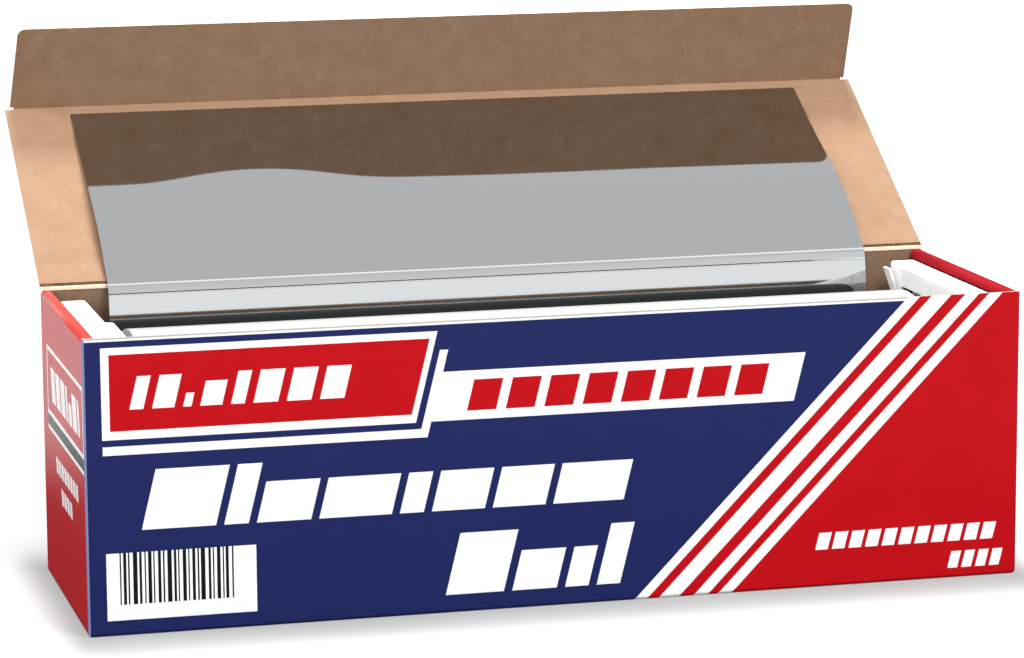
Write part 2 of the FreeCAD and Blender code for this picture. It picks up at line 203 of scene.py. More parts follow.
def bare_board_edge(name, dark, pale):
    """The cut or cracked edge of the board, where its pale core shows, or painted grey as shade at the front
    rim.
    """
    material, tree = new_material(name)
    place = node_in(tree, "TexCoord").outputs["Object"]
    layers = node_in(tree, "TexNoise", {"Vector": place, "Scale": per_metre(1.5), "Detail": 4.0})
    tone = node_in(tree, "Mix", {"Factor": layers.outputs["Fac"], "A": colour(dark), "B": colour(pale)},
                   data_type="RGBA")
    shader = node_in(tree, "BsdfPrincipled", {"Base Color": tone.outputs["Result"], "Roughness": 0.8})
    close_material(tree, shader.outputs["BSDF"])
    return material


def bright_foil():
    """Household aluminium foil, bright side: cold rolled to a mirror with faint lines along the web,
    and limp, so that it mirrors in gentle waves."""
    material, tree = new_material("rolled_aluminium_foil")
    place = node_in(tree, "TexCoord").outputs["Object"]
    drawn = node_in(tree, "Mapping", {"Vector": place, "Scale": (1.0, 0.02, 0.02)})
    lines = node_in(tree, "TexNoise", {"Vector": drawn.outputs[0], "Scale": per_metre(0.8), "Detail": 3.0})
    dull = node_in(tree, "TexNoise", {"Vector": place, "Scale": per_metre(45), "Detail": 3.0})
    roughness = node_in(tree, "MapRange", {"Value": dull.outputs["Fac"], "From Min": 0.3, "From Max": 0.7,
                                           "To Min": 0.03, "To Max": 0.05})
    bump = node_in(tree, "Bump", {"Height": lines.outputs["Fac"], "Strength": 0.02, "Distance": 0.0001})
    shader = node_in(tree, "BsdfPrincipled", {"Base Color": colour("#BBBEC0"), "Metallic": 1.0,
                                              "Roughness": roughness.outputs[0],
                                              "Normal": bump.outputs["Normal"]})
    close_material(tree, shader.outputs["BSDF"])
    return material


def matt_foil():
    """The matt side of the same foil, which faces out on the roll: two webs are rolled together, and
    the faces that touch come out etched and white. It is painted dark down into the gap behind the roll, a
    painted shade by the angle round the roll."""
    material, tree = new_material("matt_side_of_aluminium_foil")
    place = node_in(tree, "TexCoord").outputs["Object"]
    parts = node_in(tree, "SeparateXYZ", {0: place}).outputs
    height = node_in(tree, "Math", {0: parts["Z"], 1: ROLL_AXIS_Z * MM}, operation="SUBTRACT")
    around = node_in(tree, "Math", {0: height.outputs[0], 1: parts["Y"]}, operation="ARCTAN2")
    turned = node_in(tree, "Math", {0: around.outputs[0]}, operation="ABSOLUTE")
    # Painted shade: dark round the back of the roll, grading to white over its top and front
    shade = node_in(tree, "MapRange", {"Value": turned.outputs[0], "From Min": math.radians(64),
                                       "From Max": math.radians(95)}, interpolation_type="SMOOTHSTEP")
    tone = node_in(tree, "Mix", {"Factor": shade.outputs[0], "A": colour("#343636"), "B": colour("#F2F3F1")},
                   data_type="RGBA")
    drawn = node_in(tree, "Mapping", {"Vector": place, "Scale": (1.0, 0.03, 0.03)})
    lines = node_in(tree, "TexNoise", {"Vector": drawn.outputs[0], "Scale": per_metre(1.5), "Detail": 3.0})
    bump = node_in(tree, "Bump", {"Height": lines.outputs["Fac"], "Strength": 0.05, "Distance": 0.0001})
    shader = node_in(tree, "BsdfPrincipled", {"Base Color": tone.outputs["Result"], "Metallic": 0.55,
                                              "Roughness": 0.5, "Normal": bump.outputs["Normal"]})
    close_material(tree, shader.outputs["BSDF"])
    return material


def wound_foil():
    """The cut edges of many laps of foil: a satin grey with fine rings."""
    material, tree = new_material("wound_foil_edges")
    place = node_in(tree, "TexCoord").outputs["Object"]
    centred = node_in(tree, "Mapping", {"Vector": place, "Location": (0.0, 0.0, -ROLL_AXIS_Z * MM),
                                        "Scale": (0.0, 1.0, 1.0)})
    rings = node_in(tree, "TexWave", {"Vector": centred.outputs[0], "Scale": per_metre(4.0),
                                      "Distortion": 0.6}, wave_type="RINGS", rings_direction="X")
    tone = node_in(tree, "Mix", {"Factor": rings.outputs["Fac"], "A": colour("#C9CCCE"),
                                 "B": colour("#ECEDED")}, data_type="RGBA")
    bump = node_in(tree, "Bump", {"Height": rings.outputs["Fac"], "Strength": 0.3, "Distance": 0.0002})
    shader = node_in(tree, "BsdfPrincipled", {"Base Color": tone.outputs["Result"], "Metallic": 0.5,
                                              "Roughness": 0.38, "Normal": bump.outputs["Normal"]})
    close_material(tree, shader.outputs["BSDF"])
    return material


def white_card():
    """Bleached folding card: matt white with a faint fibre."""
    material, tree = new_material("bleached_card")
    place = node_in(tree, "TexCoord").outputs["Object"]
    fibre = node_in(tree, "TexNoise", {"Vector": place, "Scale": per_metre(2.0), "Detail": 4.0})
    tone = node_in(tree, "Mix", {"Factor": fibre.outputs["Fac"], "A": colour("#EDEEEE"),
                                 "B": colour("#FAFAF8")}, data_type="RGBA")
    bump = node_in(tree, "Bump", {"Height": fibre.outputs["Fac"], "Strength": 0.12, "Distance": 0.0002})
    shader = node_in(tree, "BsdfPrincipled", {"Base Color": tone.outputs["Result"], "Roughness": 0.6,
                                              "Normal": bump.outputs["Normal"]})
    close_material(tree, shader.outputs["BSDF"])
    return material


def spiral_paperboard():
    """A core of glued grey-brown board strips wound in a spiral, so slanted butt seams show."""
    material, tree = new_material("spiral_wound_paperboard")
    place = node_in(tree, "TexCoord").outputs["Object"]
    turned = node_in(tree, "Mapping", {"Vector": place, "Rotation": (0.0, 0.0, math.radians(35))})
    seams = node_in(tree, "TexWave", {"Vector": turned.outputs[0], "Scale": per_metre(120),
                                      "Distortion": 0.3}, wave_profile="SAW")
    seam = node_in(tree, "MapRange", {"Value": seams.outputs["Fac"], "From Min": 0.0, "From Max": 0.04,
                                      "To Min": 0.5, "To Max": 0.0})
    fibre = node_in(tree, "TexNoise", {"Vector": place, "Scale": per_metre(1.8), "Detail": 5.0})
    tone = node_in(tree, "Mix", {"Factor": fibre.outputs["Fac"], "A": colour("#A58A6B"),
                                 "B": colour("#C2A987")}, data_type="RGBA")
    seamed = node_in(tree, "Mix", {"Factor": seam.outputs[0], "A": tone.outputs["Result"],
                                   "B": colour("#6E5840")}, data_type="RGBA")
    shader = node_in(tree, "BsdfPrincipled", {"Base Color": seamed.outputs["Result"], "Roughness": 0.85})
    close_material(tree, shader.outputs["BSDF"])
    return material


KRAFT = kraft_board("recycled_kraft_board", "#A8876E", "#A07F65")
# The flap's inside is painted darker kraft, a painted shade, since it faces down away from the lamps
FLAP_KRAFT_WITH_PAINTED_SHADE = kraft_board("kraft_board_painted_darker_with_the_flaps_shade", "#9B7E67", "#917259")
# The carton's inside is painted darker kraft, a painted shade inside the carton
SHADED_KRAFT = kraft_board("kraft_board_painted_with_the_shade_inside_the_carton", "#806754", "#785F4C")
# Dark kraft painted as the shade along the creases
SCORE_KRAFT_WITH_PAINTED_SHADE = kraft_board("kraft_board_painted_with_the_shade_along_the_score", "#5C4433", "#4C3728")
NAVY = printed_board("offset_print_navy", "#20285B")
RED = printed_board("offset_print_red", "#BB1019")
GREY_GREEN = printed_board("offset_print_grey_green", "#1E2A24")
BLACK = printed_board("offset_print_black", "#17181C")
WHITE = printed_board("unprinted_white_clay_coat", "#F7F8F8")
# Lighter navy painted on the left fold as its highlight
NAVY_WITH_PAINTED_HIGHLIGHT = printed_board("navy_print_painted_lighter_as_a_highlight_on_a_fold", "#8088B8", 0.3, 0.45)
# Darker red painted over the right end's roll as its shade
RED_WITH_PAINTED_FOLD_SHADE = printed_board("red_print_painted_darker_with_shade_over_a_fold", "#A0232B", 0.0, 0.9)
# Lighter pink-red painted on the rolled ends as their highlight
RED_WITH_PAINTED_HIGHLIGHT = printed_board("red_print_painted_lighter_as_a_highlight_over_a_fold", "#C03F3C")
# Near-black red painted on the inner ply as the shade in the gap at the support
SHADED_RED = printed_board("red_print_painted_with_the_shade_in_the_gap_at_the_support", "#3A1013", 0.0, 0.9)
# Grey painted along the top of the long panels as the shade line at the rim
WHITE_WITH_PAINTED_RIM_SHADE = printed_board("clay_coat_painted_grey_with_the_shade_along_the_rim", "#B4B2AE", 0.0, 0.8)
EDGE = bare_board_edge("scored_board_core", "#E9CFAE", "#FBEFDC")
# Grey board edge painted as the shade at the front rim
RIM_EDGE_WITH_PAINTED_SHADE = bare_board_edge("board_edge_painted_grey_with_shade_at_the_front_rim", "#A9A49C", "#C4C0B8")
FOIL = bright_foil()
OUTER_LAP = matt_foil()
WOUND = wound_foil()
CARD = white_card()
CORE = spiral_paperboard()
# Slots of a printed piece, inks first
INKS = [NAVY, RED, WHITE, GREY_GREEN, BLACK, NAVY_WITH_PAINTED_HIGHLIGHT, RED_WITH_PAINTED_FOLD_SHADE, RED_WITH_PAINTED_HIGHLIGHT, SHADED_RED,
        WHITE_WITH_PAINTED_RIM_SHADE, EDGE, RIM_EDGE_WITH_PAINTED_SHADE, KRAFT, FLAP_KRAFT_WITH_PAINTED_SHADE, SHADED_KRAFT, SCORE_KRAFT_WITH_PAINTED_SHADE]
(NAVY_INK, RED_INK, WHITE_INK, GREY_INK, BLACK_INK, FOLD_HIGHLIGHT_NAVY_INK, FOLD_SHADE_RED_INK, FOLD_HIGHLIGHT_RED_INK, SHADED_INK,
 RIM_SHADE_INK, EDGE_INK, RIM_EDGE_SHADE_SIDE, KRAFT_SIDE, FLAP_SHADE_SIDE, SHADED_SIDE, SCORE_SHADE_SIDE) = range(len(INKS))


def finish_piece(bm, name, materials, body=None):
    """Turns a mesh drawn in millimetres into a piece in metres, with its materials, attached to its body if
    one is given.
    """
    bmesh.ops.scale(bm, vec=(MM, MM, MM), verts=bm.verts)
    mesh = bpy.data.meshes.new(name)
    bm.to_mesh(mesh)
    bm.free()
    piece = bpy.data.objects.new(name, mesh)
    bpy.context.scene.collection.objects.link(piece)
    for material in materials:
        mesh.materials.append(material)
    if body:
        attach(piece, body)
    return piece


def run_to(bm, edges, step, pitch=None):
    """Draws edges out along a straight step, in lengths no longer than the pitch."""
    count = max(1, math.ceil(step.length / pitch)) if pitch else 1
    for _ in range(count):
        made = bmesh.ops.extrude_edge_only(bm, edges=edges)["geom"]
        fresh = {item for item in made if isinstance(item, bmesh.types.BMVert)}
        bmesh.ops.translate(bm, verts=list(fresh), vec=step / count)
        edges = [item for item in made
                 if isinstance(item, bmesh.types.BMEdge) and set(item.verts) <= fresh]
    return edges


def sweep_along(bm, edges, corners, radii, axis, segments, pitch=None):
    """Draws edges, which start at the first corner, along straight runs through the corners. Each inner
    corner is rounded to its radius about the axis."""
    spot = corners[0]
    for before, corner, after, radius in zip(corners, corners[1:], corners[2:], radii):
        towards = (corner - before).normalized()
        away = (after - corner).normalized()
        turn = towards.angle(away)
        side = math.copysign(1, towards.cross(away).dot(axis))
        trim = radius * math.tan(turn / 2)
        enter = corner - towards * trim
        edges = run_to(bm, edges, enter - spot, pitch)
        centre = enter + axis.cross(towards) * radius * side
        spun = bmesh.ops.spin(bm, geom=edges, cent=centre, axis=axis, dvec=(0, 0, 0), angle=turn * side,
                              steps=segments, use_duplicate=False)["geom_last"]
        edges = [item for item in spun if isinstance(item, bmesh.types.BMEdge)]
        spot = corner + away * trim
    return run_to(bm, edges, corners[-1] - spot, pitch)


def ink_field(bm, wall, outline, ink):
    """Cuts the wall's faces along a convex outline, given as (across, up) corners, and inks what lies
    inside it."""
    across, up, belongs = wall
    sides = list(zip(outline, outline[1:] + outline[:1]))
    low = [min(corner[axis] for corner in outline) for axis in (0, 1)]
    high = [max(corner[axis] for corner in outline) for axis in (0, 1)]

    def spot(point):
        return point.dot(across), point.dot(up)

    def near(face):
        spots = [spot(vert.co) for vert in face.verts]
        return all(max(s[axis] for s in spots) > low[axis] + SLIVER
                   and min(s[axis] for s in spots) < high[axis] - SLIVER for axis in (0, 1))

    for (x0, z0), (x1, z1) in sides:
        faces = [face for face in bm.faces if belongs(face) and near(face)]
        edges = {edge for face in faces for edge in face.edges}
        verts = {vert for face in faces for vert in face.verts}
        bmesh.ops.bisect_plane(bm, geom=faces + list(edges) + list(verts), dist=SLIVER,
                               plane_co=across * x0 + up * z0,
                               plane_no=across * (z1 - z0) - up * (x1 - x0))
    for face in bm.faces:
        if not belongs(face) or not near(face):
            continue
        x, z = spot(face.calc_center_median())
        turns = [(x1 - x0) * (z - z0) - (z1 - z0) * (x - x0) for (x0, z0), (x1, z1) in sides]
        if min(turns) > 0 or max(turns) < 0:
            face.material_index = ink


# Print of a long panel. Across is measured from the panel's middle and up from its bottom edge. The
# fields lean one way, and the stripes lean further.
FIELD_SLANT = 0.25
STRIPE_SLANT = 0.978
STRIPE_START = 26.0
STRIPES = ((WHITE_INK, 4.8), (RED_INK, 4.6), (WHITE_INK, 7.8), (RED_INK, 5.7), (WHITE_INK, 5.5),
           (RED_INK, 4.1), (WHITE_INK, 5.3))
TOP_MARGIN = 1.3
RIM_SHADE_DEPTH = 0.5
# How far the print runs past the bottom fold
OVERRUN = 1.0

# Fields, as (left, right, bottom, top, lean of the left side, lean of the right side, ink). A long panel
# has an offset outline, a red field in its own outline, and a banner.
PANEL_FIELDS = (
    (-171.4, -52.3, 66.6, 98.7, 0, FIELD_SLANT, WHITE_INK),
    (-171.4, -54.6, 69.8, 98.7, 0, FIELD_SLANT, NAVY_INK),
    (-171.5, -56.6, 72.2, 105.7, 0, FIELD_SLANT, WHITE_INK),
    (-168.6, -58.1, 75.3, 103.1, 0, FIELD_SLANT, RED_INK),
    (-51.0, 88.1, 72.3, 90.5, FIELD_SLANT, FIELD_SLANT, WHITE_INK),
)
# An end has a framed field, and a grey stripe between two white lines
END_FIELDS = (
    (-52, 38.9, 59.4, 91.6, 0, 0, WHITE_INK),
    (-50.4, 37.3, 67.0, 90.0, 0, 0, RED_INK),
    (-52, 38.9, 61.0, 65.2, 0, 0, GREY_INK),
)
# The lid's outside is measured down from its crease
LID_FIELDS = (
    (-150, 22, -84, -30, FIELD_SLANT, FIELD_SLANT, WHITE_INK),
    (-146, 18, -80, -34, FIELD_SLANT, FIELD_SLANT, RED_INK),
)

# Rows of slanted blocks, as (start, bottom, (width, height) of each block, gap, ink)
PANEL_ROWS = (
    (-161.5, 83.0, ((5, 12), (8, 12), (3, 5), (8, 9), (5, 12), (9, 12), (9, 12), (9, 12)), 3.2, WHITE_INK),
    (-37.5, 75.6, ((11, 11.5),) * 8, 3.6, RED_INK),
    (-158.0, 38.8, ((27, 22), (9, 22), (20, 15), (27, 15), (9, 15), (20, 15), (20, 15), (27, 15)), 3.0,
     WHITE_INK),
    (-46.0, 7.0, ((22, 23), (17, 15), (9, 15), (9, 23)), 3.2, WHITE_INK),
    (97.0, 14.5, ((5, 6.5),) * 11, 1.6, WHITE_INK),
    (150.0, 4.0, ((4, 6.5),) * 4, 1.6, WHITE_INK),
)
END_ROWS = (
    (-44.0, 71.5, ((4, 13), (10, 13), (7, 8), (4, 13), (10, 13), (10, 13), (10, 13)), 2.6, WHITE_INK),
    (-36.0, 46.0, ((5.5, 6),) * 8, 1.6, WHITE_INK),
    (-20.0, 36.0, ((5.5, 6),) * 4, 1.6, WHITE_INK),
)
LID_ROWS = (
    (-128, -66, ((12, 20), (16, 20), (8, 13), (16, 20), (16, 20), (16, 20)), 5, WHITE_INK),
)

# The label and the upright bars on it, whose widths and gaps are taken in turn
LABEL_LEFT, LABEL_RIGHT, LABEL_BOTTOM, LABEL_TOP = -171.1, -116.4, 5.9, 30.7
FIRST_BAR, BAR_BOTTOM, BAR_COUNT = -166.3, 11.6, 24
BAR_WIDTHS = (0.5, 1.1, 0.6, 1.6, 0.9, 0.5, 1.3)
BAR_GAPS = (0.8, 0.6, 1.2, 0.7, 1.0)


def leaning(left, right, bottom, top, lean_left=0.0, lean_right=0.0):
    """A four-sided field. Left and right are its bottom corners, and each side may lean."""
    height = top - bottom
    return [(left, bottom), (right, bottom),
            (right + lean_right * height, top), (left + lean_left * height, top)]


def print_fields(bm, wall, fields):
    for left, right, bottom, top, lean_left, lean_right, ink in fields:
        ink_field(bm, wall, leaning(left, right, bottom, top, lean_left, lean_right), ink)


def print_rows(bm, wall, rows):
    for start, bottom, blocks, gap, ink in rows:
        for width, height in blocks:
            block = leaning(start, start + width, bottom, bottom + height, FIELD_SLANT, FIELD_SLANT)
            ink_field(bm, wall, block, ink)
            start += width + gap


def print_stripes(bm, wall, edge, bottom, top):
    """The slanted stripes and the red corner at their right."""
    start = STRIPE_START
    for ink, width in STRIPES:
        ink_field(bm, wall, leaning(start, start + width, bottom, top, STRIPE_SLANT, STRIPE_SLANT), ink)
        start += width
    corner = [(start, bottom), (edge, bottom), (edge, top), (start + STRIPE_SLANT * (top - bottom), top)]
    ink_field(bm, wall, corner, RED_INK)


def print_long_panel(bm, wall, height):
    """The front's print, which the back repeats."""
    edge = HALF_LENGTH + FOLD_RADIUS
    stripe_top = height + FOLD_RADIUS
    stripe_head = STRIPE_START + STRIPE_SLANT * height
    ink_field(bm, wall, leaning(-edge, edge, -OVERRUN, stripe_top), NAVY_INK)
    ink_field(bm, wall, leaning(-edge, edge, height - TOP_MARGIN, stripe_top), WHITE_INK)
    # The top of the panel is painted grey, a painted shade line along the rim
    ink_field(bm, wall, leaning(-edge, stripe_head, height - RIM_SHADE_DEPTH, stripe_top), RIM_SHADE_INK)
    print_stripes(bm, wall, edge, 0, stripe_top)
    # The fold at the left is painted lighter navy, a painted highlight where the fold catches the light
    ink_field(bm, wall, leaning(-edge, FOLD_RADIUS / 2 - HALF_LENGTH, -OVERRUN, stripe_top), FOLD_HIGHLIGHT_NAVY_INK)
    print_fields(bm, wall, PANEL_FIELDS)
    print_rows(bm, wall, PANEL_ROWS)


def print_label(bm, wall):
    """A white label with a row of upright bars."""
    ink_field(bm, wall, leaning(LABEL_LEFT, LABEL_RIGHT, LABEL_BOTTOM, LABEL_TOP), WHITE_INK)
    start = FIRST_BAR
    for index in range(BAR_COUNT):
        width = BAR_WIDTHS[index % len(BAR_WIDTHS)]
        ink_field(bm, wall, leaning(start, start + width, BAR_BOTTOM, LABEL_TOP), BLACK_INK)
        start += width + BAR_GAPS[index % len(BAR_GAPS)]


def board_walls(side):
    """Tells the outer faces of the front (side -1) or back (side 1) panel and its folds."""
    def belongs(face):
        off_middle = face.calc_center_median().y * side
        return face.material_index < EDGE_INK and off_middle > HALF_DEPTH - FOLD_RADIUS
    return belongs


def thicken(bm):
    """Gives an open shell the board's thickness on its inside, which is kraft painted darker with shade, with
    bare edges, grey with painted shade at the front rim.
    """
    bmesh.ops.recalc_face_normals(bm, faces=bm.faces)
    outside = set(bm.faces)
    made = bmesh.ops.solidify(bm, geom=list(bm.faces), thickness=BOARD)["geom"]
    inside = {item for item in made if isinstance(item, bmesh.types.BMFace)}
    for face in bm.faces:
        if face in inside:
            face.material_index = SHADED_SIDE
        elif face not in outside:
            at_front_rim = face.calc_center_median().y < BOARD - HALF_DEPTH
            # The front rim's cut edge is painted grey, a painted shade
            face.material_index = RIM_EDGE_SHADE_SIDE if at_front_rim else EDGE_INK
            face.smooth = False


# Where the painted shade of the support's edge starts on the end's inner ply
SHADE_BELOW_RIM = 3.0


def roll_over_end(bm, side):
    """Rolls an end panel over at the rim and brings it down inside as a second ply."""
    end = max(bm.faces, key=lambda face: face.calc_center_median().x * side * face.calc_area())
    upright = [edge for edge in end.edges if abs(edge.verts[0].co.z - edge.verts[1].co.z) > RIM / 2]
    bmesh.ops.split_edges(bm, edges=upright)
    head = [vert for vert in end.verts if vert.co.z > RIM / 2]
    for vert in head:
        vert.co.z = RIM - FOLD_RADIUS
    rim_edge = [edge for edge in end.edges if set(edge.verts) == set(head)]
    outer, inner = side * HALF_LENGTH, side * (HALF_LENGTH - END_WALL)
    before = set(bm.faces)
    sweep_along(bm, rim_edge, [Vector((outer, 0, RIM - FOLD_RADIUS)), Vector((outer, 0, RIM)),
                               Vector((inner, 0, RIM)), Vector((inner, 0, BOARD))],
                (FOLD_RADIUS, FOLD_RADIUS), Y, FOLD_SEGMENTS)
    for face in set(bm.faces) - before:
        face.normal_update()
        face.smooth = max(abs(part) for part in face.normal) < FLAT
        at_outer_edge = face.calc_center_median().x * side > HALF_LENGTH - FOLD_RADIUS / 2
        # The left end's roll and the right end's outer edge are painted lighter red, a painted highlight; the
        # rest of the right end's roll is painted darker red, a painted shade
        face.material_index = FOLD_HIGHLIGHT_RED_INK if side < 0 or at_outer_edge else FOLD_SHADE_RED_INK
    end.material_index = RED_INK


def print_end(bm, side):
    """Prints an end's outer ply, and paints shade on its inner ply below the support's edge."""
    def outer_ply(face):
        off_middle = face.calc_center_median().x * side
        return face.material_index < EDGE_INK and off_middle > HALF_LENGTH - SLIVER

    def inner_ply(face):
        off_plane = face.calc_center_median().x * side - HALF_LENGTH + END_WALL
        return face.material_index < EDGE_INK and abs(off_plane) < SLIVER

    print_fields(bm, (-Y * side, Z, outer_ply), END_FIELDS)
    print_rows(bm, (-Y * side, Z, outer_ply), END_ROWS)
    shaded = leaning(-HALF_DEPTH, HALF_DEPTH, 0, RIM - SHADE_BELOW_RIM)
    # The inner ply below the support's edge is painted near-black, a painted shade
    ink_field(bm, (Y, Z, inner_ply), shaded, SHADED_INK)


def make_carton():
    """Base, front and back of one board with folded corners. Each end panel rises from the base, rolls
    over and comes down inside."""
    bm = bmesh.new()
    bmesh.ops.create_cube(bm, size=1)
    bmesh.ops.scale(bm, vec=(2 * HALF_LENGTH, 2 * HALF_DEPTH, RIM), verts=bm.verts)
    bmesh.ops.translate(bm, vec=(0, 0, RIM / 2), verts=bm.verts)
    top = [face for face in bm.faces if face.normal.z > 0.9]
    bmesh.ops.delete(bm, geom=top, context="FACES_ONLY")
    folds = [edge for edge in bm.edges if len(edge.link_faces) == 2]
    bmesh.ops.bevel(bm, geom=folds, offset=FOLD_RADIUS, affect="EDGES", segments=FOLD_SEGMENTS, profile=0.5,
                    material=-1)
    for face in bm.faces:
        face.smooth = max(abs(part) for part in face.normal) < FLAT
    for side in (-1, 1):
        roll_over_end(bm, side)
    thicken(bm)
    front = (X, Z, board_walls(-1))
    back = (-X, Z, board_walls(1))
    print_long_panel(bm, front, RIM)
    print_long_panel(bm, back, RIM)
    print_label(bm, front)
    for side in (-1, 1):
        print_end(bm, side)
    piece = finish_piece(bm, "carton", INKS, "carton")
    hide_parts("carton_body")
    return piece


def make_board_panel(corners, prints):
    """A flat panel of board drawn on its inside, along X and up Y from its crease, with the print on
    its underside."""
    bm = bmesh.new()
    face = bm.faces.new([bm.verts.new((across, up, 0)) for across, up in corners])
    bmesh.ops.recalc_face_normals(bm, faces=[face])
    face.material_index = NAVY_INK
    prints(bm)
    inside = bmesh.ops.extrude_face_region(bm, geom=list(bm.faces), use_keep_orig=True)["geom"]
    bmesh.ops.translate(bm, verts=[item for item in inside if isinstance(item, bmesh.types.BMVert)],
                        vec=(0, 0, BOARD))
    for item in bm.faces:
        middle = item.calc_center_median()
        if middle.z > BOARD - SLIVER:
            item.material_index = KRAFT_SIDE
        elif middle.z > SLIVER:
            item.material_index = EDGE_INK
    bmesh.ops.recalc_face_normals(bm, faces=bm.faces)
    return bm


# The line of painted shade on the lid beside its crease
SCORE_LINE = 1.8
# The unprinted strip by the flap's free edge
BARE_STRIP = 6.0


def make_lid():
    side, waist, tip = HALF_LENGTH, HALF_LENGTH - NOTCH_LENGTH, LID_LENGTH - CREASE_GAP
    notch = LID_LENGTH - NOTCH_WIDTH
    corners = [(-side, CREASE_GAP), (side, CREASE_GAP), (side, notch), (waist, notch), (waist, tip),
               (-waist, tip), (-waist, notch), (-side, notch)]

    def prints(bm):
        wall = (X, -Y, lambda face: True)
        print_stripes(bm, wall, side, -LID_LENGTH, 0)
        print_fields(bm, wall, LID_FIELDS)
        print_rows(bm, wall, LID_ROWS)

    bm = make_board_panel(corners, prints)
    inside = (X, Y, lambda face: face.material_index == KRAFT_SIDE)
    # The lid's root is painted dark, a painted shade under the crease
    ink_field(bm, inside, leaning(-side, side, 0, SCORE_LINE), SCORE_SHADE_SIDE)
    place = Matrix.Translation(HINGE) @ Matrix.Rotation(LID_SLOPE, 4, "X")
    bm.transform(place)
    piece = finish_piece(bm, "lid", INKS, "lid")
    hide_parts("lid_panel")
    return piece


def make_flap():
    waist = HALF_LENGTH - NOTCH_LENGTH
    tip = FLAP_ROOT - FLAP_TAPER
    corners = [(-waist, CREASE_GAP), (waist, CREASE_GAP), (waist, NOTCH_WIDTH), (FLAP_ROOT, NOTCH_WIDTH),
               (tip, FLAP_LENGTH), (-tip, FLAP_LENGTH), (-FLAP_ROOT, NOTCH_WIDTH), (-waist, NOTCH_WIDTH)]

    def prints(bm):
        for face in bm.faces:
            face.material_index = RED_INK
        wall = (X, Y, lambda face: True)
        strip = leaning(-FLAP_ROOT, FLAP_ROOT, FLAP_LENGTH - BARE_STRIP, FLAP_LENGTH)
        ink_field(bm, wall, strip, WHITE_INK)

    bm = make_board_panel(corners, prints)
    # The flap's inside takes the kraft painted darker with its shade
    for face in bm.faces:
        if face.material_index == KRAFT_SIDE:
            face.material_index = FLAP_SHADE_SIDE
    ends = [edge for edge in bm.edges if abs(edge.verts[0].co.z - edge.verts[1].co.z) > BOARD / 2
            and edge.verts[0].co.y > FLAP_LENGTH - SLIVER]
    bmesh.ops.bevel(bm, geom=ends, offset=FLAP_CORNER, affect="EDGES", segments=6, profile=0.5, material=-1)
    place = (Matrix.Translation(FLAP_HINGE) @ Matrix.Rotation(LID_SLOPE + FLAP_FOLD, 4, "X")
             @ Matrix.Translation((0, 0, -BOARD / 2)))
    bm.transform(place)
    piece = finish_piece(bm, "front_flap", INKS, "front_flap")
    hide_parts("lid_front_flap")
    return piece


def make_crease(name, half, inside, outside):
    """A scored crease between two panels, drawn along X from its profile's inside and outside corners.
    Inside, the board's pale core shows up to a line of painted shade under the last corner."""
    bm = bmesh.new()
    profile = inside + outside[::-1]
    first = [bm.verts.new(corner - X * half) for corner in profile]
    second = [bm.verts.new(corner + X * half) for corner in profile]
    count = len(profile)
    for index in range(count):
        following = (index + 1) % count
        face = bm.faces.new((first[index], first[following], second[following], second[index]))
        if index < len(inside) - 2:
            face.material_index = EDGE_INK
        # The last inside face is painted dark, a painted shade under the crease
        elif index == len(inside) - 2:
            face.material_index = SCORE_SHADE_SIDE
        else:
            face.material_index = NAVY_INK
    for ring in (first, second):
        bm.faces.new(ring).material_index = EDGE_INK
    bmesh.ops.recalc_face_normals(bm, faces=bm.faces)
    piece = finish_piece(bm, name, INKS)
    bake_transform(piece)
    return piece


# The creases reach this far into their panels
CREASE_LAP = 0.05
# The lid's crease swells into the carton. Its inside corners are (swell past the board, height over the
# rim), and its outside turns at one height over the rim.
CREASE_SWELL = ((0.4, 0.2), (0.4, 1.35), (0.15, 1.65))
CREASE_TURN = 0.5


def make_creases():
    """The hinge that joins lid and back panel, and the fold that joins lid and front flap."""
    rim = Vector((0, HALF_DEPTH, RIM))
    foot = rim - Z * CREASE_LAP
    lid_root = HINGE + UP_LID * (CREASE_GAP + CREASE_LAP)
    swollen = [rim - Y * (BOARD + off_board) + Z * height for off_board, height in CREASE_SWELL]
    make_crease("lid_crease", HALF_LENGTH, [foot - Y * BOARD, *swollen, lid_root + OFF_LID * BOARD],
                [foot, rim + Z * CREASE_TURN, lid_root])
    lid_tip = HINGE + UP_LID * (LID_LENGTH - CREASE_GAP - CREASE_LAP)
    flap_root = FLAP_HINGE + UP_FLAP * (CREASE_GAP + CREASE_LAP)
    outwards = (UP_LID - UP_FLAP).normalized()
    make_crease("flap_crease", HALF_LENGTH - NOTCH_LENGTH,
                [lid_tip + OFF_LID * BOARD, flap_root + OFF_FLAP * BOARD / 2],
                [lid_tip, FLAP_HINGE + outwards * BOARD / 2, flap_root - OFF_FLAP * BOARD / 2])


# The foil's free end
SHEET_THICKNESS = 0.2
SHEET_GAP = 0.15
SHEET_ON_LID = 102.0
SHEET_WRAP = math.radians(40)
SLACK_SETBACK, SLACK_DROP, SLACK_RADIUS = 5.6, 12.5, 11.0
SCORE_SETBACK, SCORE_DROP, SCORE_DEPTH, SCORE_RADIUS = 4.1, 2.1, 0.07, 0.4
BEND_SETBACK, BEND_RISE, BEND_RADIUS = 2.8, 1.3, 4.0
BULGE_PLACE, BULGE_LIFT, BULGE_RADIUS = 22.0, 5.2, 120.0
HALF_SCORE = 0.5
SHEET_COLUMNS, WRAP_STEPS, CORNER_STEPS, SHEET_PITCH = 64, 12, 8, 3.0

